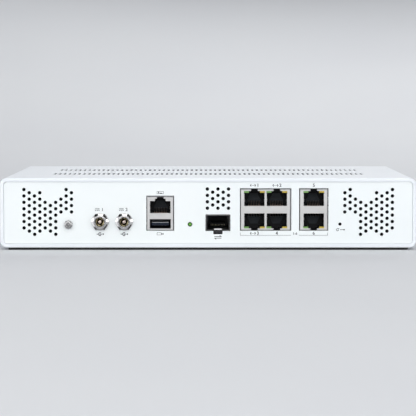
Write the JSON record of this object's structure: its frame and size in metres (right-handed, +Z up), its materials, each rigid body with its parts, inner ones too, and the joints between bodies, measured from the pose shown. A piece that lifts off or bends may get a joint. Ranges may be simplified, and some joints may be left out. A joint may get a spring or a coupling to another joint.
{
  "type": "desktop network gateway",
  "caption": "Flat white desktop network gateway with stacked copper ports, a fibre module bay, console and USB ports, twin DC inlets and a slotted top.",
  "frame": {"origin": "middle of the footprint, at the level of the surface that the foot strips stand on", "axes": "+Z up; the port side faces -Y; +X runs to the right along the port side as it is looked at"},
  "size_m": [0.26, 0.1746, 0.045],
  "materials": {
    "housing_white": "fine moulded texture, satin",
    "panel_white": "fine powder coat, satin",
    "foot_rubber": "matt black rubber",
    "screw_steel": "zinc plated",
    "chrome_plate": "bright nickel plate",
    "shield_metal": "satin nickel plate",
    "cage_metal": "satin stainless sheet, dark inside",
    "black_plastic": "moulded connector plastic",
    "contact_gold": "gold plate",
    "board_green": "solder mask",
    "chip_black": "moulded package",
    "sink_aluminium": "extruded, fine grain",
    "pad_grey": "soft gap filler",
    "can_aluminium": "drawn can",
    "coil_grey": "pressed iron powder",
    "clear_guide": "clear moulded, frosted ends",
    "light_green": "diffusing lens",
    "light_amber": "diffusing lens",
    "cell_steel": "polished can"
  },
  "bodies": {
    "chassis": {"base_screws": "screw_steel", "base_tray": "housing_white", "board_chips": "chip_black", "board_screws": "screw_steel", "board_standoffs": "contact_gold", "coin_cell": "cell_steel", "coin_cell_holder": "black_plastic", "console_usb_housing": "black_plastic", "console_usb_shield": "shield_metal", "dc_jack_1_barrel": "chrome_plate", "dc_jack_1_housing": "black_plastic", "dc_jack_1_nut": "chrome_plate", "dc_jack_1_pin": "contact_gold", "dc_jack_1_spring": "contact_gold", "dc_jack_2_barrel": "chrome_plate", "dc_jack_2_housing": "black_plastic", "dc_jack_2_nut": "chrome_plate", "dc_jack_2_pin": "contact_gold", "dc_jack_2_spring": "contact_gold", "dc_jack_washers": "chrome_plate", "dual_jack_housing": "black_plastic", "dual_jack_shield": "shield_metal", "filter_capacitors": "can_aluminium", "front_foot_strip": "foot_rubber", "ground_nut": "screw_steel", "ground_screw": "chrome_plate", "ground_washer": "chrome_plate", "heatsink": "sink_aluminium", "heatsink_nuts": "screw_steel", "heatsink_screws": "screw_steel", "heatsink_springs": "screw_steel", "io_panel": "panel_white", "light_guide": "clear_guide", "main_board": "board_green", "memory_module": "board_green", "memory_socket": "black_plastic", "port_contacts": "contact_gold", "port_lights_amber": "light_amber", "port_lights_green": "light_green", "power_inductors": "coil_grey", "power_led": "light_green", "power_led_holder": "black_plastic", "processor": "chip_black", "quad_jack_housing": "black_plastic", "quad_jack_shield": "shield_metal", "rear_foot_strip": "foot_rubber", "reset_switch": "black_plastic", "sfp_cage": "cage_metal", "sfp_connector": "black_plastic", "sfp_contacts": "contact_gold", "sfp_spring_collar": "cage_metal", "status_panel": "housing_white", "storage_module": "board_green", "storage_screw": "screw_steel", "storage_socket": "black_plastic", "thermal_pad": "pad_grey", "top_cover": "housing_white", "usb_shell": "shield_metal"},
    "reset_stem": {"reset_button": "black_plastic"},
    "latch_leaf": {"sfp_latch": "shield_metal"}
  },
  "joints": [
    {"name": "reset_press", "type": "slide", "parent": "chassis", "child": "reset_stem", "axis": [0, 1, 0], "range_m": [0, 0.0005], "stiffness_N_per_m": 150, "springref_m": -0.001},
    {"name": "latch_flex", "type": "hinge", "parent": "chassis", "child": "latch_leaf", "pos_m": [0.0061, -0.07395, 0.01255], "axis": [1, 0, 0], "range_deg": [0, 5], "stiffness_Nm_per_rad": 0.05}
  ]
}
